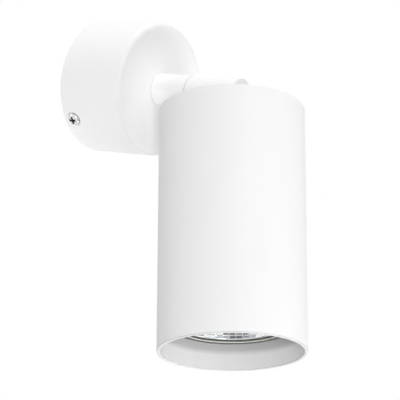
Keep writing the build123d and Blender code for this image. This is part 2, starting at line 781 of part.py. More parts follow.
# Strap that hangs from the cap and carries the lamp holder
lamp_front = head_length - lamp_recess
lamp_seat = lamp_front - lamp_length
holder_face = lamp_seat - flat_clearance
holder_back = holder_face - holder_height
strap_back = holder_back - ear_sheet
holder_screw_pitch = 2 * (leg_inner - holder_screw_gap) - medium_head
holder_screw_places = [(0, -holder_screw_pitch / 2), (0, holder_screw_pitch / 2)]
post_places = [(-pin_pitch / 2, 0), (pin_pitch / 2, 0)]
post_radius = contact_post_diameter / 2
tag_frame = Plane(
    origin=head_top.from_local_coords((0, leg_inner, head_earth_depth)),
    x_dir=(1, 0, 0),
    z_dir=-head_frame.y_dir,
)
with BuildPart() as holder_strap:
    with BuildSketch(head_top.offset(cap_back)):
        for side in (1, -1):
            with Locations((0, side * (leg_inner + (strap_flange + ear_sheet) / 2))):
                Rectangle(strap_width, strap_flange + ear_sheet)
        with Locations(*strap_screw_places):
            Circle(medium_thread / 2 + slip_clearance, mode=Mode.SUBTRACT)
    extrude(amount=ear_sheet)
    with BuildSketch(head_top.offset(base_back)):
        for side in (1, -1):
            with Locations((0, side * (leg_inner + ear_sheet / 2))):
                Rectangle(strap_width, ear_sheet)
    extrude(amount=strap_back - base_back)
    with BuildSketch(head_top.offset(strap_back)):
        Rectangle(strap_width, strap_span)
        with Locations(*holder_screw_places):
            Circle(medium_thread / 2 + slip_clearance, mode=Mode.SUBTRACT)
        with Locations(*post_places):
            Circle(post_radius + loose_clearance, mode=Mode.SUBTRACT)
    extrude(amount=ear_sheet)
    with BuildSketch(tag_frame):
        Circle(medium_thread / 2 + thread_clearance)
    extrude(amount=-ear_sheet, mode=Mode.SUBTRACT)
holder_strap.part.label = "holder_strap"
export_step(holder_strap.part, "parts/holder_strap.step")

# Screws from below, through tilt bracket and strap into the cap
cap_screw_length = ear_sheet + cap_thread_depth - thread_spare
cap_screw = pan_screw(medium_thread, medium_head, medium_head_height, cap_screw_length)
screw_seat = head_top.offset(base_back)
with BuildPart() as cap_screws:
    for place in tilt_screw_places + strap_screw_places:
        seat_point = screw_seat.from_local_coords((*place, 0))
        with Locations(Plane(seat_point, screw_seat.x_dir, screw_seat.z_dir)):
            add(cap_screw)
cap_screws.part.label = "cap_screws"
export_step(cap_screws.part, "parts/cap_screws.step")

# Lamp holder: two arc shaped keyholes under the chamber in which the heads of the pins turn
pin_circle = pin_pitch / 2
pin_neck_radius = pin_neck_diameter / 2
pin_head_radius = pin_head_diameter / 2
pin_head_foot = holder_face - holder_floor - loose_clearance
pin_top = pin_head_foot - pin_head_height
contact_front = pin_top - flat_clearance
chamber_back = contact_front - contact_sheet
turn_lines = [
    CenterArc((0, 0), pin_circle, start - twist_margin, twist_range + 2 * twist_margin) for start in (0, 180)
]
with BuildPart() as lamp_holder:
    with BuildSketch(head_top.offset(holder_back)):
        Circle(holder_diameter / 2)
    extrude(amount=holder_height)
    fillet(lamp_holder.edges().filter_by(GeomType.CIRCLE), holder_edge_round)
    with BuildSketch(head_top.offset(chamber_back)):
        for line in turn_lines:
            SlotArc(line, pin_head_diameter + 2 * loose_clearance)
    extrude(amount=holder_face - holder_floor - chamber_back, mode=Mode.SUBTRACT)
    with BuildSketch(head_top.offset(holder_face)):
        for line in turn_lines:
            SlotArc(line, pin_neck_diameter + 2 * loose_clearance)
        with PolarLocations(pin_circle, 2, start_angle=twist_range):
            Circle(pin_head_radius + loose_clearance)
    extrude(amount=-holder_floor, mode=Mode.SUBTRACT)
    with BuildSketch(head_top.offset(holder_back)):
        with Locations(*post_places):
            Circle(post_radius + slip_clearance)
    extrude(amount=chamber_back - holder_back, mode=Mode.SUBTRACT)
    with BuildSketch(head_top.offset(holder_back)):
        with Locations(*holder_screw_places):
            Circle(medium_thread / 2 + thread_clearance)
    extrude(amount=holder_thread_depth, mode=Mode.SUBTRACT)
lamp_holder.part.label = "lamp_holder"
export_step(lamp_holder.part, "parts/lamp_holder.step")

# Contacts: a leaf over each pin and a post up through the holder to the lead
post_top = strap_back - contact_post_rise
with BuildPart() as holder_contacts:
    with BuildSketch(head_top.offset(chamber_back)):
        for line in turn_lines:
            SlotArc(line, pin_head_diameter - 2 * contact_margin)
    extrude(amount=contact_sheet)
    with BuildSketch(head_top.offset(post_top)):
        with Locations(*post_places):
            Circle(post_radius)
    extrude(amount=chamber_back - post_top)
holder_contacts.part.label = "holder_contacts"
export_step(holder_contacts.part, "parts/holder_contacts.step")

# Screws down through the strap into the holder
holder_fixing_length = ear_sheet + holder_thread_depth - thread_spare
holder_screw = pan_screw(medium_thread, medium_head, medium_head_height, holder_fixing_length)
with BuildPart() as holder_screws:
    for place in holder_screw_places:
        seat_point = head_top.from_local_coords((*place, strap_back))
        with Locations(Plane(seat_point, head_frame.x_dir, -head_frame.z_dir)):
            add(holder_screw)
holder_screws.part.label = "holder_screws"
export_step(holder_screws.part, "parts/holder_screws.step")

# Sleeve in the head: a ball on the tilt axis, then straight down through the tilt bracket
sleeve_end = base_back + medium_head_height + loose_clearance
with BuildPart() as head_sleeve:
    with BuildSketch(head_frame):
        Circle(sleeve_radius)
    extrude(amount=hinge_drop + sleeve_end)
    with Locations(head_frame):
        Sphere(sleeve_radius)
head_sleeve.part.label = "head_sleeve"
export_step(head_sleeve.part, "parts/head_sleeve.step")

# Earth tag on a leg of the strap, bent square so that its barrel points at the sleeve
head_tag_radius = medium_thread / 2 + tag_margin
lead_level = head_earth_depth - head_earth_rise
with BuildPart() as head_earth_tag:
    with BuildSketch(tag_frame):
        Circle(head_tag_radius)
        Rectangle(2 * barrel_radius, head_earth_rise, align=(Align.CENTER, Align.MAX))
        with Locations((0, -head_earth_rise)):
            Circle(barrel_radius)
        Circle(medium_thread / 2 + slip_clearance, mode=Mode.SUBTRACT)
    extrude(amount=tag_sheet)
    with BuildSketch(tag_frame.offset(tag_sheet)):
        with Locations((0, -head_earth_rise)):
            Circle(barrel_radius)
            Circle(lead_radius + press_clearance, mode=Mode.SUBTRACT)
    extrude(amount=barrel_length)
head_earth_tag.part.label = "head_earth_tag"
export_step(head_earth_tag.part, "parts/head_earth_tag.step")

head_earth_fixing = pan_screw(medium_thread, medium_head, medium_head_height, tag_sheet + 2 * ear_sheet)
with BuildPart() as head_earth_screw:
    with Locations(tag_frame.offset(tag_sheet)):
        add(head_earth_fixing)
head_earth_screw.part.label = "head_earth_screw"
export_step(head_earth_screw.part, "parts/head_earth_screw.step")

# Leads in the head, drawn in the frame of its top
head_lead_starts = [
    (lead_circle * cos(radians(90 + 120 * i)), lead_circle * sin(radians(90 + 120 * i))) for i in range(3)
]
head_earth_points = [
    (*head_lead_starts[0], sleeve_end),
    (*head_lead_starts[0], lead_level),
    (0, leg_inner - tag_sheet, lead_level),
]
with BuildPart() as head_earth_lead:
    with BuildLine(head_top) as route:
        FilletPolyline(*head_earth_points, radius=bend_radii("head_earth_lead", head_earth_points))
    with BuildSketch(Plane(route.line @ 0, z_dir=route.line % 0)):
        Circle(lead_radius)
    sweep()
head_earth_lead.part.label = "head_earth_lead"
export_step(head_earth_lead.part, "parts/head_earth_lead.step")

lead_fall = (post_top - sleeve_end) / 3
head_live_points = [
    (*head_lead_starts[1], sleeve_end),
    (*head_lead_starts[1], sleeve_end + lead_fall),
    (*post_places[0], post_top - lead_fall),
    (*post_places[0], post_top),
]
with BuildPart() as head_live_lead:
    with BuildLine(head_top) as route:
        FilletPolyline(*head_live_points, radius=bend_radii("head_live_lead", head_live_points))
    with BuildSketch(Plane(route.line @ 0, z_dir=route.line % 0)):
        Circle(lead_radius)
    sweep()
head_live_lead.part.label = "head_live_lead"
export_step(head_live_lead.part, "parts/head_live_lead.step")

head_neutral_points = [
    (*head_lead_starts[2], sleeve_end),
    (*head_lead_starts[2], sleeve_end + lead_fall),
    (*post_places[1], post_top - lead_fall),
    (*post_places[1], post_top),
]
with BuildPart() as head_neutral_lead:
    with BuildLine(head_top) as route:
        FilletPolyline(*head_neutral_points, radius=bend_radii("head_neutral_lead", head_neutral_points))
    with BuildSketch(Plane(route.line @ 0, z_dir=route.line % 0)):
        Circle(lead_radius)
    sweep()
head_neutral_lead.part.label = "head_neutral_lead"
export_step(head_neutral_lead.part, "parts/head_neutral_lead.step")

# Lamp reflector: a glass bowl with a square rim that holds the front glass, and a neck in the base
lamp_radius = lamp_diameter / 2
rim_back = lamp_front - lamp_rim_height
neck_radius = lamp_neck_diameter / 2
neck_front = lamp_front - lamp_neck_depth
neck_back = neck_front - lamp_neck_length
glass_front = lamp_front - lamp_glass_sink
glass_back = glass_front - lamp_glass_sheet
rim_bore = lamp_radius - lamp_rim_wall
bowl_mouth = rim_bore - lamp_shell / 2
bowl_back = lamp_radius - lamp_rim_round
with BuildPart() as lamp_reflector:
    with BuildSketch(head_section):
        with BuildLine():
            Polyline(
                (bowl_mouth, glass_back),
                (rim_bore, glass_back),
                (rim_bore, lamp_front),
                (lamp_radius, lamp_front),
                (lamp_radius, rim_back),
                (bowl_back, rim_back),
            )
            SagittaArc((bowl_back, rim_back), (neck_radius, neck_front), lamp_bulge)
            Polyline(
                (neck_radius, neck_front),
                (neck_radius, neck_back),
                (neck_radius - lamp_shell, neck_back),
                (neck_radius - lamp_shell, neck_front),
            )
            SagittaArc((neck_radius - lamp_shell, neck_front), (bowl_mouth, glass_back), -lamp_bulge)
        make_face()
    revolve(axis=head_axis)
    fillet(lamp_reflector.edges().filter_by(GeomType.CIRCLE).group_by(head_axis)[-1], lamp_rim_round)
lamp_reflector.part.label = "lamp_reflector"
export_step(lamp_reflector.part, "parts/lamp_reflector.step")

# Front glass, let into the rim
with BuildPart() as lamp_glass:
    with BuildSketch(head_top.offset(glass_back)):
        Circle(rim_bore - running_clearance)
    extrude(amount=lamp_glass_sheet)
lamp_glass.part.label = "lamp_glass"
export_step(lamp_glass.part, "parts/lamp_glass.step")

# Lamp base: a ceramic cup with a floor for the pins and a bore for the neck of the bowl
base_radius = lamp_base_diameter / 2
base_floor = lamp_seat + lamp_base_floor
neck_bore = neck_radius + running_clearance
with BuildPart() as lamp_base:
    with BuildSketch(head_section):
        with BuildLine():
            Polyline(
                (0, lamp_seat),
                (base_radius, lamp_seat),
                (base_radius + lamp_base_flare, neck_front),
                (neck_bore, neck_front),
                (neck_bore, neck_back),
                (capsule_stem_diameter / 2 + running_clearance, neck_back),
                (capsule_stem_diameter / 2 + running_clearance, base_floor),
                (0, base_floor),
                close=True,
            )
        make_face()
    revolve(axis=head_axis)
lamp_base.part.label = "lamp_base"
export_step(lamp_base.part, "parts/lamp_base.step")

# Lamp pins, mushroom shaped
with BuildPart() as lamp_pins:
    with BuildSketch(head_top.offset(lamp_seat)):
        with Locations(*post_places):
            Circle(pin_neck_radius)
    extrude(amount=pin_head_foot - lamp_seat)
    with BuildSketch(head_top.offset(pin_head_foot)):
        with Locations(*post_places):
            Circle(pin_head_radius)
    extrude(amount=-pin_head_height)
lamp_pins.part.label = "lamp_pins"
export_step(lamp_pins.part, "parts/lamp_pins.step")

# Capsule: a stem in the base and a domed bulb in the bowl
capsule_radius = capsule_diameter / 2
capsule_front = neck_front + capsule_length
with BuildPart() as lamp_capsule:
    with BuildSketch(head_top.offset(base_floor)):
        Circle(capsule_stem_diameter / 2)
    extrude(amount=neck_front - base_floor)
    with BuildSketch(head_top.offset(neck_front)):
        Circle(capsule_radius)
    extrude(amount=capsule_length - capsule_radius)
    with Locations(head_top.offset(capsule_front - capsule_radius)):
        Sphere(capsule_radius)
lamp_capsule.part.label = "lamp_capsule"
export_step(lamp_capsule.part, "parts/lamp_capsule.step")
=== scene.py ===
# White wall spotlight: finishes, lamp details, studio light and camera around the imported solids.
# Metres, in the frame of the solids: the wall is the plane y = 0, the arm runs along -Y, +Z is up.
import bmesh
import bpy
import json
import math
from mathutils import Matrix, Quaternion, Vector


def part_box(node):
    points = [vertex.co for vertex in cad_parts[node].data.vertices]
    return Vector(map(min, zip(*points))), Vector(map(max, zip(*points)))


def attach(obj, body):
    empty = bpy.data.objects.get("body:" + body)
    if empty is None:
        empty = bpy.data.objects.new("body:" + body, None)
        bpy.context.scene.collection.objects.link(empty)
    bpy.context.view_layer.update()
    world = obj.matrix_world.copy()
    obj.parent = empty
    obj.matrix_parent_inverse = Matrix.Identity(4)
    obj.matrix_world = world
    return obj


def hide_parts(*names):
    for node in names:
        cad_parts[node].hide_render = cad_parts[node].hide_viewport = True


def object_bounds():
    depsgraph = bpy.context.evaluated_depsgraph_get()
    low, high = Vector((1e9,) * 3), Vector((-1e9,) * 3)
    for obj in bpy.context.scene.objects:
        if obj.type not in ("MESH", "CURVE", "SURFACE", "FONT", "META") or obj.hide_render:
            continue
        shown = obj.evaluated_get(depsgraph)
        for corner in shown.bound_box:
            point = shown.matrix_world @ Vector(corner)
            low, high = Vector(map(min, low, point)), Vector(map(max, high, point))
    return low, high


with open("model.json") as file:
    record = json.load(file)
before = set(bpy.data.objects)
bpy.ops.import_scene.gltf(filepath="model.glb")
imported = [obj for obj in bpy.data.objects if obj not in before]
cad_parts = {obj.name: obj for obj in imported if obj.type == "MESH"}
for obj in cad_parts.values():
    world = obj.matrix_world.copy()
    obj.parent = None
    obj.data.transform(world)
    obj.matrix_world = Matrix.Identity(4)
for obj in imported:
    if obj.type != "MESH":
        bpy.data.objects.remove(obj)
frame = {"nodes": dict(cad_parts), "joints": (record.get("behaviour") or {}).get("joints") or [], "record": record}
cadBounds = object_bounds()
nodes = frame["nodes"]
joints = {joint["name"]: joint for joint in frame["joints"]}
print("frame loaded:", len(nodes), "nodes")


class Wire:
    # a node's output that takes part in Python expressions
    def __init__(self, tree, socket):
        self.tree = tree
        self.socket = socket

    def other(self, name):
        return Wire(self.tree, self.socket.node.outputs[name])

    def combine(self, operation, first, second):
        made = self.tree.nodes.new("ShaderNodeMath")
        made.operation = operation
        for place, value in enumerate((first, second)):
            if isinstance(value, Wire):
                self.tree.links.new(value.socket, made.inputs[place])
            else:
                made.inputs[place].default_value = value
        return Wire(self.tree, made.outputs[0])

    def __add__(self, value):
        return self.combine("ADD", self, value)

    def __radd__(self, value):
        return self.combine("ADD", value, self)

    def __sub__(self, value):
        return self.combine("SUBTRACT", self, value)

    def __rsub__(self, value):
        return self.combine("SUBTRACT", value, self)

    def __mul__(self, value):
        return self.combine("MULTIPLY", self, value)

    def __rmul__(self, value):
        return self.combine("MULTIPLY", value, self)

    def __gt__(self, value):
        return self.combine("GREATER_THAN", self, value)

    def __abs__(self):
        return self.combine("ABSOLUTE", self, 0.0)

    def clamped(self):
        made = self.combine("ADD", self, 0.0)
        made.socket.node.use_clamp = True
        return made


class NodeBench:
    # makes nodes in one tree
    def __init__(self, tree):
        self.tree = tree

    def feed(self, socket, value):
        if isinstance(value, Wire):
            self.tree.links.new(value.socket, socket)
        else:
            socket.default_value = value

    def node(self, kind, settings=None, sockets=None, pick=0):
        made = self.tree.nodes.new(kind)
        for name, value in (settings or {}).items():
            if name == "stops":
                self.setStops(made.color_ramp.elements, value)
            else:
                setattr(made, name, value)
        for name, value in (sockets or {}).items():
            self.feed(made.inputs[name], value)
        return Wire(self.tree, made.outputs[pick])

    def setStops(self, elements, stops):
        while len(elements) < len(stops):
            elements.new(1.0)
        for element, (place, colour) in zip(elements, stops):
            element.position = place
            element.color = rgb(*colour)

    def mixColour(self, factor, first, second):
        return self.node("ShaderNodeMix", {"data_type": "RGBA"}, {0: factor, 6: first, 7: second}, pick=2)


class Finish(NodeBench):
    # one material: a principled shader and the nodes that feed it
    def __init__(self, name):
        self.material = bpy.data.materials.new(name)
        self.material.use_nodes = True
        super().__init__(self.material.node_tree)
        self.shader = self.tree.nodes["Principled BSDF"]
        self.place = self.node("ShaderNodeTexCoord", pick="Object")

    def noise(self, scale, detail=2.0, place=None):
        sockets = {"Vector": place or self.place, "Scale": scale, "Detail": detail}
        return self.node("ShaderNodeTexNoise", None, sockets)

    def stretched(self, scale):
        return self.node("ShaderNodeMapping", None, {"Vector": self.place, "Scale": scale}, pick="Vector")

    def along(self, direction):
        sockets = {0: self.place, 1: direction}
        return self.node("ShaderNodeVectorMath", {"operation": "DOT_PRODUCT"}, sockets, pick="Value")

    def aside(self, point, axis):
        # distance from the line through a point along an axis
        offset = self.node("ShaderNodeVectorMath", {"operation": "SUBTRACT"}, {0: self.place, 1: point})
        slant = self.node("ShaderNodeVectorMath", {"operation": "CROSS_PRODUCT"}, {0: offset, 1: axis})
        return self.node("ShaderNodeVectorMath", {"operation": "LENGTH"}, {0: slant}, pick="Value")

    def ramp(self, factor, stops):
        return self.node("ShaderNodeValToRGB", {"stops": stops}, {"Fac": factor}, pick="Color")

    def bump(self, height, distance, strength=1.0):
        sockets = {"Height": height, "Distance": distance, "Strength": strength}
        return self.node("ShaderNodeBump", None, sockets, pick="Normal")

    def surface(self, sockets):
        for name, value in sockets.items():
            self.feed(self.shader.inputs[name], value)
        return self.material


def rgb(red, green, blue):
    return (red, green, blue, 1.0)


def grey(tone):
    return rgb(tone, tone, tone)


def outwards(settings):
    # unit vector from the object towards a lamp or the camera
    turn = math.radians(settings["azimuth"])
    rise = math.radians(settings["elevation"])
    return Vector((math.sin(turn) * math.cos(rise), -math.cos(turn) * math.cos(rise), math.sin(rise)))


def addObject(name, data):
    made = bpy.data.objects.new(name, data)
    bpy.context.scene.collection.objects.link(made)
    return made


def meshFrom(name, shape):
    # a mesh from a bmesh, which is then let go
    mesh = bpy.data.meshes.new(name)
    shape.to_mesh(mesh)
    shape.free()
    return mesh


# Lamp frame: z runs along the lamp's axis out of the mouth, from the tilt axis
lampPoint = Vector(joints["lamp_twist"]["pos_m"])
lampAxis = Vector(joints["lamp_twist"]["axis"]).normalized()
lampSide = Vector((1.0, 0.0, 0.0))
lampTurn = Matrix((lampSide, lampAxis.cross(lampSide), lampAxis)).transposed()
lampFrame = Matrix.Translation(lampPoint) @ lampTurn.to_4x4()


def spanAlong(node):
    # nearest and farthest reach of a node along the lamp's axis
    reach = [(vertex.co - lampPoint).dot(lampAxis) for vertex in nodes[node].data.vertices]
    return min(reach), max(reach)


# Powder coats: the arm's and canopy's, and the head's, which is a little greyer
powder = {"cloud": 45.0, "grain": 2600.0, "matte": 0.44, "uneven": 0.12, "relief": 0.000012}
whiteCoat = {"pale": (0.955, 0.955, 0.957), "shade": (0.942, 0.942, 0.944), "peel": 900.0, "sheen": 0.3}
tubeCoat = {"pale": (0.86, 0.86, 0.863), "shade": (0.846, 0.846, 0.849), "peel": 1100.0, "sheen": 0.4}


def powderCoat(name, settings, tint=None):
    # matte baked powder: faint clouding, a fine orange peel and a grain of powder in the gloss
    finish = Finish(name)
    cloud = finish.noise(powder["cloud"], 3.0)
    grain = finish.noise(powder["grain"], 2.0)
    wave = finish.noise(settings["peel"], 1.0)
    coat = finish.mixColour(cloud, rgb(*settings["pale"]), rgb(*settings["shade"]))
    return finish.surface({
        "Base Color": tint(finish, coat) if tint else coat,
        "Roughness": powder["matte"] + powder["uneven"] * grain,
        "Normal": finish.bump(0.7 * wave + 0.3 * grain, powder["relief"]),
        "Specular IOR Level": settings["sheen"],
    })


# Bands across the arm where its coat is darker, each from one y to another: painted shade at the foot and at the
# seam, and a greyer end face
armShadeAndEndBands = [
    {"from": -0.0322, "to": -0.0318, "tone": 0.72},
    {"from": -0.0499, "to": -0.0495, "tone": 0.7},
    {"from": -0.1, "to": -0.0742, "tone": 0.91},
]


def armShadeAndEndTint(finish, coat):
    place = finish.along((0.0, 1.0, 0.0))
    for band in armShadeAndEndBands:
        # painted shade in the foot and seam bands; the last band only greys the end face
        inside = (place > band["from"]) * (band["to"] - place > 0.0)
        coat = finish.mixColour(inside, coat, grey(band["tone"]))
    return coat


# The tube's mouth edge, darker, and painted shade in its bore some way behind the mouth, near the lamp
mouthEdge = {"depth": 0.0004, "tone": 0.62}
boreShade = {"radius": 0.0286, "depth": 0.006, "soft": 0.0022, "tone": 0.57}


def mouthEdgeAndBoreShade(finish, coat):
    edge = lampAxis.dot(lampPoint) + spanAlong("head_tube")[1] - mouthEdge["depth"]
    reach = finish.along(lampAxis)
    # painted shade: the bore darkens past a depth from the mouth, over a soft span
    inside = boreShade["radius"] - finish.aside(lampPoint, lampAxis) > 0.0
    deep = (edge - boreShade["depth"] - reach) * (1 / boreShade["soft"])
    coat = finish.mixColour(inside * deep.clamped(), coat, grey(boreShade["tone"]))
    sawn = reach > edge
    return finish.mixColour(sawn, coat, grey(mouthEdge["tone"]))


# The canopy's rounded rim, darkened as painted shade, more so towards the bottom
canopyRimShade = {"radius": 0.002, "edge": 0.0004, "soft": 0.0009, "share": 0.6, "fall": 11.0, "tone": 0.8}


def rimShadeTint(finish, coat):
    low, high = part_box("canopy")
    reach = finish.aside((0.0, 0.0, 0.0), (0.0, 1.0, 0.0)) - finish.along((0.0, 1.0, 0.0))
    start = high.x - low.y - canopyRimShade["radius"] - canopyRimShade["edge"]
    turned = (reach - start) * (1 / canopyRimShade["soft"])
    # painted shade: darker across the turn of the rim, growing towards the bottom
    rimShading = turned.clamped() * (canopyRimShade["share"] - canopyRimShade["fall"] * finish.along((0.0, 0.0, 1.0)))
    return finish.mixColour(rimShading, coat, grey(canopyRimShade["tone"]))


# Painted shade in the drive recess of the two canopy screws
screwRecessShade = {
    "turn": 48.1,  # of their diagonal about y
    "level": -0.005,  # their y
    "radius": 0.0017,
    "top": 0.02925,  # the recess lies below this distance from the canopy's axis
    "tone": (0.03, 0.03, 0.032),
}


def brightChrome(name):
    # polished plating with hairline wear, and painted shade in the drive recess: dark, rough and less metallic
    # there
    finish = Finish(name)
    hairline = finish.noise(1.0, 3.0, finish.stretched((9000.0, 600.0, 600.0)))
    cloud = finish.noise(700.0)
    turn = math.radians(screwRecessShade["turn"])
    reach = abs(finish.along((math.cos(turn), 0.0, math.sin(turn))))
    aside = finish.along((-math.sin(turn), 0.0, math.cos(turn)))
    level = finish.along((0.0, 1.0, 0.0)) - screwRecessShade["level"]
    below = screwRecessShade["top"] - reach > 0.0
    within = screwRecessShade["radius"] ** 2 - aside * aside - level * level > 0.0
    # painted shade: the recess below the head's top and within its radius
    recessShade = below * within
    plate = finish.mixColour(cloud, rgb(0.66, 0.665, 0.67), rgb(0.76, 0.76, 0.765))
    return finish.surface({
        "Base Color": finish.mixColour(recessShade, plate, rgb(*screwRecessShade["tone"])),
        "Roughness": 0.06 + 0.1 * hairline + 0.4 * recessShade,
        "Metallic": 1.0 - 0.8 * recessShade,
        "Normal": finish.bump(hairline, 0.000004),
    })


def zincPlate(name, tone, warm):
    # bright zinc: cold grey with warmer and duller patches, and rolling lines
    finish = Finish(name)
    patch = finish.noise(260.0, 4.0)
    rolled = finish.noise(1.0, 3.0, finish.stretched((3200.0, 180.0, 180.0)))
    return finish.surface({
        "Base Color": finish.mixColour(patch, rgb(*tone), rgb(*warm)),
        "Roughness": 0.26 + 0.14 * patch + 0.1 * rolled,
        "Metallic": 1.0,
        "Normal": finish.bump(rolled, 0.000006),
    })


def mouldedPlastic(name, pale, deep, gloss):
    # moulded plastic with a faint flow pattern and a fine spark texture
    finish = Finish(name)
    flow = finish.noise(150.0, 3.0)
    spark = finish.noise(3500.0, 1.0)
    return finish.surface({
        "Base Color": finish.mixColour(flow, rgb(*pale), rgb(*deep)),
        "Roughness": gloss + 0.14 * spark,
        "Normal": finish.bump(spark, 0.000008),
    })


stripes = {"edge": 0.62, "green": (0.05, 0.27, 0.06), "yellow": (0.82, 0.66, 0.05)}


def earthStripes(name):
    # green insulation with a yellow stripe along two sides
    finish = Finish(name)
    side = finish.node("ShaderNodeSeparateXYZ", None, {"Vector": finish.place.other("Normal")}, pick="X")
    stripe = abs(side) > stripes["edge"]
    grain = finish.noise(1800.0)
    return finish.surface({
        "Base Color": finish.mixColour(stripe, rgb(*stripes["green"]), rgb(*stripes["yellow"])),
        "Roughness": 0.38 + 0.16 * grain,
        "Normal": finish.bump(grain, 0.000008),
    })


braid = {"yarns": 420.0, "relief": 0.00008, "gap": (0.6, 0.58, 0.52), "yarn": (0.88, 0.87, 0.83)}


def braidedSleeve(name):
    # glass fibre braid: two sets of slanting yarns
    finish = Finish(name)
    bands = {"bands_direction": "DIAGONAL", "wave_profile": "SIN"}
    over = finish.node("ShaderNodeTexWave", bands, {"Vector": finish.place, "Scale": braid["yarns"]})
    mirrored = finish.stretched((-1.0, 1.0, 1.0))
    under = finish.node("ShaderNodeTexWave", bands, {"Vector": mirrored, "Scale": braid["yarns"]})
    yarn = over * under
    return finish.surface({
        "Base Color": finish.mixColour(yarn, rgb(*braid["gap"]), rgb(*braid["yarn"])),
        "Roughness": 0.86 - 0.14 * yarn,
        "Normal": finish.bump(yarn, braid["relief"]),
    })


def firedCeramic(name, pale, deep):
    # dry pressed steatite: fine speckle and a sandy skin
    finish = Finish(name)
    speckle = finish.ramp(finish.noise(1500.0, 5.0), [(0.38, deep), (0.56, pale)])
    sand = finish.noise(4200.0, 2.0)
    return finish.surface({
        "Base Color": speckle,
        "Roughness": 0.5 + 0.2 * sand,
        "Normal": finish.bump(sand, 0.00002),
    })


# The lamp's rim by radius less depth from its front: the coat's edge, a black band at the ledge as painted shade,
# the olive bore, the pale round, and the dark outer edge as painted shade of the gap to the tube
lampRimBandsAndShade = {
    "start": 0.0195,
    "span": 0.0055,
    "stops": [
        (0.0, (0.78, 0.79, 0.8)),
        (0.06, (0.78, 0.79, 0.8)),
        (0.09, (0.025, 0.025, 0.022)),
        (0.22, (0.03, 0.03, 0.025)),
        (0.28, (0.12, 0.125, 0.07)),
        (0.36, (0.16, 0.165, 0.1)),
        (0.41, (0.66, 0.66, 0.56)),
        (0.47, (0.74, 0.74, 0.71)),
        (0.54, (0.74, 0.74, 0.71)),
        (0.57, (0.05, 0.05, 0.045)),
        (0.8, (0.05, 0.05, 0.045)),
        (0.87, (0.3, 0.305, 0.29)),
        (1.0, (0.34, 0.345, 0.33)),
    ],
}


def coatedGlass(name):
    # the lamp's pressed glass with its mirror coat seen from behind, and bands on the rim, two of them painted
    # shade
    finish = Finish(name)
    front = lampPoint + lampAxis * spanAlong("lamp_reflector")[1]
    depth = lampAxis.dot(front) - finish.along(lampAxis)
    share = (finish.aside(front, lampAxis) - depth - lampRimBandsAndShade["start"]) * (1 / lampRimBandsAndShade["span"])
    ripple = finish.noise(420.0, 2.0)
    return finish.surface({
        "Base Color": finish.ramp(share, lampRimBandsAndShade["stops"]),
        "Roughness": 0.2 + 0.12 * ripple,
        "Normal": finish.bump(ripple, 0.00003),
        "Specular IOR Level": 0.25,
    })


facetReflectionTones = [(0.1, (0.16, 0.16, 0.165)), (0.45, (0.62, 0.61, 0.68)), (0.8, (0.95, 0.95, 0.96))]


def facetMirrorPaintedReflection(name):
    # vacuum coated facets with a painted reflection: dark to bright by the tone each plate was given, each a
    # little uneven
    finish = Finish(name)
    uneven = finish.noise(380.0, 2.0)
    tone = finish.node("ShaderNodeAttribute", {"attribute_name": "plateTone"}, pick="Fac")
    return finish.surface({
        "Base Color": finish.ramp(tone + 0.1 * uneven, facetReflectionTones),
        "Roughness": 0.05 + 0.06 * uneven,
        "Metallic": 1.0,
        "Normal": finish.bump(uneven, 0.00004),
    })


def clearGlass(name, ior, haze):
    # clear glass with a trace of pressing waves
    finish = Finish(name)
    wavy = finish.noise(160.0, 1.0)
    return finish.surface({
        "Base Color": finish.mixColour(wavy, rgb(0.96, 0.985, 0.98), rgb(0.985, 0.995, 0.995)),
        "Roughness": haze + haze * wavy,
        "Transmission Weight": 1.0,
        "IOR": ior,
        "Normal": finish.bump(wavy, 0.000006),
    })


def drawnWire(name):
    # dark drawn tungsten
    finish = Finish(name)
    drawn = finish.noise(1.0, 2.0, finish.stretched((5000.0, 5000.0, 900.0)))
    return finish.surface({
        "Base Color": finish.mixColour(drawn, rgb(0.3, 0.3, 0.31), rgb(0.46, 0.45, 0.44)),
        "Roughness": 0.3 + 0.2 * drawn,
        "Metallic": 1.0,
    })


slotFinishes = {
    "white_coat": powderCoat("whitePowderCoat", whiteCoat),
    "white_aluminium": powderCoat("whiteCapCoat", tubeCoat),
    "chrome_screw": brightChrome("canopyScrewChrome"),
    "plated_steel": zincPlate("zincPlate", (0.6, 0.62, 0.65), (0.72, 0.7, 0.65)),
    "nylon": mouldedPlastic("nylonWasher", (0.86, 0.85, 0.8), (0.8, 0.79, 0.74), 0.34),
    "bush_rubber": mouldedPlastic("bushRubber", (0.035, 0.035, 0.036), (0.055, 0.055, 0.055), 0.6),
    "block_plastic": mouldedPlastic("terminalPlastic", (0.84, 0.83, 0.77), (0.78, 0.77, 0.7), 0.36),
    "contact_brass": zincPlate("contactBrass", (0.72, 0.53, 0.24), (0.82, 0.66, 0.34)),
    "brown_insulation": mouldedPlastic("brownInsulation", (0.15, 0.06, 0.03), (0.2, 0.085, 0.04), 0.34),
    "blue_insulation": mouldedPlastic("blueInsulation", (0.02, 0.12, 0.42), (0.035, 0.16, 0.5), 0.34),
    "earth_insulation": earthStripes("earthInsulation"),
    "glass_fibre": braidedSleeve("glassFibreBraid"),
    "holder_ceramic": firedCeramic("holderCeramic", (0.84, 0.82, 0.77), (0.74, 0.71, 0.65)),
    "base_ceramic": firedCeramic("baseCeramic", (0.86, 0.85, 0.81), (0.77, 0.75, 0.7)),
    "reflector_glass": coatedGlass("coatedLampGlass"),
    "clear_glass": clearGlass("frontGlass", 1.1, 0.002),
    "quartz_glass": clearGlass("quartzGlass", 1.46, 0.01),
    "pin_metal": zincPlate("pinNickel", (0.68, 0.66, 0.61), (0.76, 0.74, 0.69)),
}
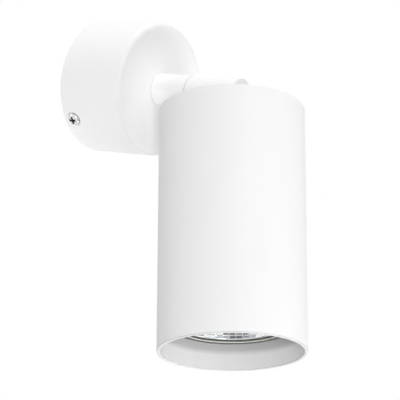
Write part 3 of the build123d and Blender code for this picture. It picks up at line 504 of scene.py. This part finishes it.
# the arm's coat, with painted shade at its foot and seam
armCoatPaintedShade = powderCoat("armCoatPaintedShade", whiteCoat, armShadeAndEndTint)
nodeFinishes = {
    "canopy": powderCoat("canopyCoatRimShade", whiteCoat, rimShadeTint),
    "stem": armCoatPaintedShade,
    "knuckle": armCoatPaintedShade,
    "head_tube": powderCoat("whiteTubeCoatBoreShade", tubeCoat, mouthEdgeAndBoreShade),
}
for part in frame["record"]["subparts"]:
    mesh = nodes[part["node"]].data
    mesh.materials.clear()
    mesh.materials.append(nodeFinishes.get(part["node"], slotFinishes[part["material_slot"]]))
print("finishes:", len(slotFinishes), "on", len(nodes), "nodes")


def finishPiece(name, shape, material, smooth):
    # closes a bmesh in the lamp frame into a piece that rides on the lamp
    bmesh.ops.transform(shape, matrix=lampFrame, verts=shape.verts)
    mesh = meshFrom(name, shape)
    for face in mesh.polygons:
        face.use_smooth = smooth
    mesh.materials.append(material)
    piece = addObject(name, mesh)
    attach(piece, "lamp")
    return piece


mergeGap = 0.000001  # corners closer than this become one


def turnProfile(points, steps):
    # a bmesh turned about z from points of radius and height
    shape = bmesh.new()
    corners = [shape.verts.new((radius, 0.0, height)) for radius, height in points]
    for first, second in zip(corners, corners[1:]):
        shape.edges.new((first, second))
    bmesh.ops.spin(
        shape,
        geom=shape.verts[:] + shape.edges[:],
        cent=(0.0, 0.0, 0.0),
        axis=(0.0, 0.0, 1.0),
        angle=2 * math.pi,
        steps=steps,
        use_merge=True,
    )
    bmesh.ops.remove_doubles(shape, verts=shape.verts, dist=mergeGap)
    bmesh.ops.recalc_face_normals(shape, faces=shape.faces)
    return shape


# Faceted mirror in the bowl, with a painted reflection: the plates' tone is darkest in six sectors around the
# lamp, one centred at darkTurn
facets = {
    "around": 48,
    "rows": 22,
    "sectors": 6,
    "darkTurn": -30.0,  # degrees, as lean and wobble are
    "lean": 15.0,
    "wobble": 3.0,
    "wobbleSteps": (12.9, 7.3),
    "darkness": 1.7,
    "mottle": 0.15,
    "mottleStep": 4.1,
    "lineTone": 0.85,
    "mouthRadius": 0.0217,
    "throatRadius": 0.0062,
    "throatDepth": 0.030,  # from the lamp's front
    "bulge": 0.0026,
    "lining": 0.00025,
    "start": 0.03,
    "stop": 0.985,
    "groove": 0.00024,
    "grooveDepth": 0.0001,
    "sheet": 0.00008,
}


def makeFacets():
    throatHeight = spanAlong("lamp_reflector")[1] - facets["throatDepth"]
    mouthHeight = spanAlong("lamp_glass")[0]
    run = Vector((facets["mouthRadius"] - facets["throatRadius"], mouthHeight - throatHeight))
    outward = Vector((run.y, -run.x)).normalized()
    points = []
    for row in range(facets["rows"] + 1):
        share = facets["start"] + (facets["stop"] - facets["start"]) * row / facets["rows"]
        swell = facets["bulge"] * (1 - (2 * share - 1) ** 2) - facets["lining"]
        foot = Vector((facets["throatRadius"], throatHeight)) + run * share
        points.append(tuple(foot + outward * swell))
    shape = turnProfile(points, facets["around"])
    plateReflectionLayer = shape.faces.layers.float.new("plateTone")
    turnedAway = [face for face in shape.faces if face.normal.xy.dot(face.calc_center_median().xy) > 0]
    bmesh.ops.reverse_faces(shape, faces=turnedAway)
    plates = shape.faces[:]
    bmesh.ops.inset_individual(shape, faces=plates, thickness=facets["groove"], depth=facets["grooveDepth"])
    for face in shape.faces:
        face[plateReflectionLayer] = facets["lineTone"]
    for plate in plates:
        # a plate's number comes from its place, because the order of the faces differs from run to run
        centre = plate.calc_center_median()
        angle = math.atan2(centre.y, centre.x)
        row = sum(height < centre.z for radius, height in points)
        column = math.floor(angle / (2 * math.pi / facets["around"]))
        index = column * facets["rows"] + row
        leanWobble, sideWobble = (
            facets["wobble"] * math.sin(step * index) for step in facets["wobbleSteps"]
        )
        place = angle - math.radians(facets["darkTurn"])
        # painted reflection: a tone that is darkest in sectors around the lamp, varied at random by the mottle
        sector = (0.5 - 0.5 * math.cos(facets["sectors"] * place)) ** facets["darkness"]
        tone = sector + facets["mottle"] * math.sin(facets["mottleStep"] * index)
        plate[plateReflectionLayer] = tone
        around = Vector((-centre.y, centre.x, 0.0)).normalized()
        along = plate.normal.cross(around)
        for axis, turn in ((around, facets["lean"] * tone + leanWobble), (along, sideWobble)):
            spun = Matrix.Rotation(math.radians(turn), 3, axis)
            bmesh.ops.rotate(shape, verts=plate.verts, cent=centre, matrix=spun)
    bmesh.ops.solidify(shape, geom=shape.faces[:], thickness=facets["sheet"])
    finishPiece("lampFacets", shape, facetMirrorPaintedReflection("facetMirrorPaintedReflection"), smooth=False)


makeFacets()
print("lamp facets:", facets["around"] * facets["rows"])


# Quartz capsule: a thin hollow bulb on its stem, with a sealed tip
capsule = {
    "steps": 40,
    "stemRadius": 0.003,
    "stemLength": 0.012,
    "bulbRadius": 0.0045,
    "shoulder": 0.0016,
    "domePoints": 8,
    "domeTurn": 72.0,  # degrees from the bulb's side to its tip
    "tipRadius": 0.0008,
    "tipLength": 0.001,
    "wall": 0.0007,
}


def makeCapsule():
    low, high = spanAlong("lamp_capsule")
    neck = low + capsule["stemLength"]
    domeFoot = high - capsule["tipLength"] - capsule["bulbRadius"]
    points = [
        (0.0, low),
        (capsule["stemRadius"], low),
        (capsule["stemRadius"], neck),
        (capsule["bulbRadius"], neck + capsule["shoulder"]),
    ]
    for step in range(capsule["domePoints"]):
        turn = math.radians(capsule["domeTurn"]) * step / (capsule["domePoints"] - 1)
        height = domeFoot + capsule["bulbRadius"] * math.sin(turn)
        points.append((capsule["bulbRadius"] * math.cos(turn), height))
    points.append((capsule["tipRadius"], high - capsule["tipLength"]))
    points += [(capsule["tipRadius"] / 2, high), (0.0, high)]
    shape = turnProfile(points, capsule["steps"])
    bmesh.ops.solidify(shape, geom=shape.faces[:], thickness=capsule["wall"])
    piece = finishPiece("quartzCapsule", shape, slotFinishes["quartz_glass"], smooth=True)
    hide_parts("lamp_capsule")


# Filament: one coil of fine wire between two supports
filament = {
    "sides": 6,
    "wire": 0.00014,
    "coilRadius": 0.0009,
    "turns": 9.5,
    "stepsPerTurn": 14,
    "pitch": 0.0005,
    "lift": 0.005,  # of the coil above the bulb's neck
    "support": 0.00022,
    "supportPlace": 0.0017,
    "supportFoot": 0.006,
}


def addRod(shape, start, end, radius):
    # a straight capped rod between two points
    run = end - start
    place = Matrix.Translation((start + end) / 2) @ run.to_track_quat("Z", "Y").to_matrix().to_4x4()
    sides = filament["sides"]
    bmesh.ops.create_cone(
        shape, cap_ends=True, segments=sides, radius1=radius, radius2=radius, depth=run.length, matrix=place
    )


def makeFilament():
    neck = spanAlong("lamp_capsule")[0] + capsule["stemLength"]
    bottom = neck + filament["lift"]
    top = bottom + filament["pitch"] * filament["turns"]
    shape = bmesh.new()
    ring = bmesh.ops.create_circle(shape, segments=filament["sides"], radius=filament["wire"])["verts"]
    upright = Matrix.Rotation(math.pi / 2, 3, "X")
    bmesh.ops.rotate(shape, verts=ring, cent=(0.0, 0.0, 0.0), matrix=upright)
    bmesh.ops.translate(shape, verts=ring, vec=(filament["coilRadius"], 0.0, bottom))
    bmesh.ops.spin(
        shape,
        geom=shape.verts[:] + shape.edges[:],
        cent=(0.0, 0.0, 0.0),
        axis=(0.0, 0.0, 1.0),
        dvec=(0.0, 0.0, filament["pitch"] / filament["stepsPerTurn"]),
        angle=2 * math.pi * filament["turns"],
        steps=round(filament["turns"] * filament["stepsPerTurn"]),
    )
    bmesh.ops.holes_fill(shape, edges=shape.edges[:])
    for side, height in ((1, bottom), (-1, top)):
        foot = Vector((side * filament["supportPlace"], 0.0, neck - filament["supportFoot"]))
        elbow = Vector((side * filament["supportPlace"], 0.0, height))
        addRod(shape, foot, elbow, filament["support"])
        addRod(shape, elbow, Vector((side * filament["coilRadius"], 0.0, height)), filament["wire"])
    bmesh.ops.recalc_face_normals(shape, faces=shape.faces)
    finishPiece("filamentCoil", shape, drawnWire("tungstenWire"), smooth=True)


makeCapsule()
makeFilament()
print("capsule and filament made")


# Camera, fitted to the photograph's edges
camera = {
    "place": (-0.6224, -0.5610, -0.1800),
    "azimuth": -51.55,
    "elevation": -9.58,
    "roll": 13.82,
    "lens": 176.6,
    "near": 0.01,
    "far": 50.0,
}


def placeCamera():
    lens = bpy.data.cameras.new("photoCamera")
    lens.lens = camera["lens"]
    lens.clip_start = camera["near"]
    lens.clip_end = camera["far"]
    holder = addObject("photoCamera", lens)
    holder.location = camera["place"]
    holder.rotation_mode = "QUATERNION"
    rolled = Quaternion((0.0, 0.0, 1.0), math.radians(camera["roll"]))
    holder.rotation_quaternion = (-outwards(camera)).to_track_quat("-Z", "Y") @ rolled
    bpy.context.scene.camera = holder


placeCamera()
print("camera placed")


# Studio: pale floor, white surround, soft boxes above, at the left, in front and low at the right
studio = {
    "floorHeight": -0.65,
    "floorSize": 40.0,
    "floorGlow": 0.65,
    "ambient": 0.35,
    "pale": (0.9, 0.93),  # the floor's two tones
}
softBoxes = [
    {"name": "topBox", "azimuth": -40.0, "elevation": 85.0, "distance": 2.0, "size": 1.5, "power": 22.5},
    {"name": "leftBox", "azimuth": -141.0, "elevation": 20.0, "distance": 2.0, "size": 1.5, "power": 4.6},
    {"name": "frontBox", "azimuth": -48.0, "elevation": -8.0, "distance": 2.0, "size": 0.3, "power": 13.3},
    {"name": "highBox", "azimuth": -38.0, "elevation": 40.0, "distance": 2.0, "size": 0.8, "power": 2.8},
    {"name": "lowBox", "azimuth": 28.0, "elevation": -38.0, "distance": 0.8, "size": 0.6, "power": 2.6},
    {"name": "underBox", "azimuth": 15.0, "elevation": -55.0, "distance": 0.7, "size": 0.5, "power": 1.6},
]


def floorFinish():
    finish = Finish("paleFloor")
    fleck = finish.noise(14.0, 4.0)
    material = finish.surface({
        "Base Color": finish.mixColour(fleck, *(grey(tone) for tone in studio["pale"])),
        "Roughness": 0.8 + 0.1 * fleck,
    })
    # white in mirrors and glass, and partly white to the camera, so that shadows still show
    path = finish.node("ShaderNodeLightPath", pick="Is Glossy Ray")
    whitened = path + path.other("Is Transmission Ray") + studio["floorGlow"] * path.other("Is Camera Ray")
    plain = Wire(finish.tree, finish.shader.outputs["BSDF"])
    white = finish.node("ShaderNodeEmission", None, {"Color": grey(1.0), "Strength": 1.0})
    mixed = finish.node("ShaderNodeMixShader", None, {0: whitened, 1: plain, 2: white})
    finish.feed(finish.tree.nodes["Material Output"].inputs["Surface"], mixed)
    return material


def layFloor():
    shape = bmesh.new()
    bmesh.ops.create_grid(shape, x_segments=8, y_segments=8, size=studio["floorSize"] / 2)
    bmesh.ops.translate(shape, verts=shape.verts, vec=(0.0, 0.0, studio["floorHeight"]))
    mesh = meshFrom("studioFloor", shape)
    mesh.materials.append(floorFinish())
    floor = addObject("studioFloor", mesh)


def whiteSurround():
    world = bpy.data.worlds.new("whiteSurround")
    world.use_nodes = True
    bench = NodeBench(world.node_tree)
    path = bench.node("ShaderNodeLightPath", pick="Is Camera Ray")
    seen = path + path.other("Is Glossy Ray") + path.other("Is Transmission Ray")
    white = grey(1.0)
    lighting = bench.node("ShaderNodeBackground", None, {"Color": white, "Strength": studio["ambient"]})
    backdrop = bench.node("ShaderNodeBackground", None, {"Color": white, "Strength": 1.0})
    mixed = bench.node("ShaderNodeMixShader", None, {0: seen, 1: lighting, 2: backdrop})
    bench.feed(world.node_tree.nodes["World Output"].inputs["Surface"], mixed)
    bpy.context.scene.world = world


def hangLamp(settings, aim):
    out = outwards(settings)
    light = bpy.data.lights.new(settings["name"], "AREA")
    light.shape = "DISK"
    light.size = settings["size"]
    light.energy = settings["power"]
    lamp = addObject(settings["name"], light)
    lamp.location = aim + out * settings["distance"]
    lamp.rotation_mode = "QUATERNION"
    lamp.rotation_quaternion = (-out).to_track_quat("-Z", "Y")
    lamp.visible_camera = False


layFloor()
whiteSurround()
middle = (cadBounds[0] + cadBounds[1]) / 2
for softBox in softBoxes:
    hangLamp(softBox, middle)
bpy.context.scene.view_settings.view_transform = "Standard"
print("studio lit:", len(softBoxes), "lamps")
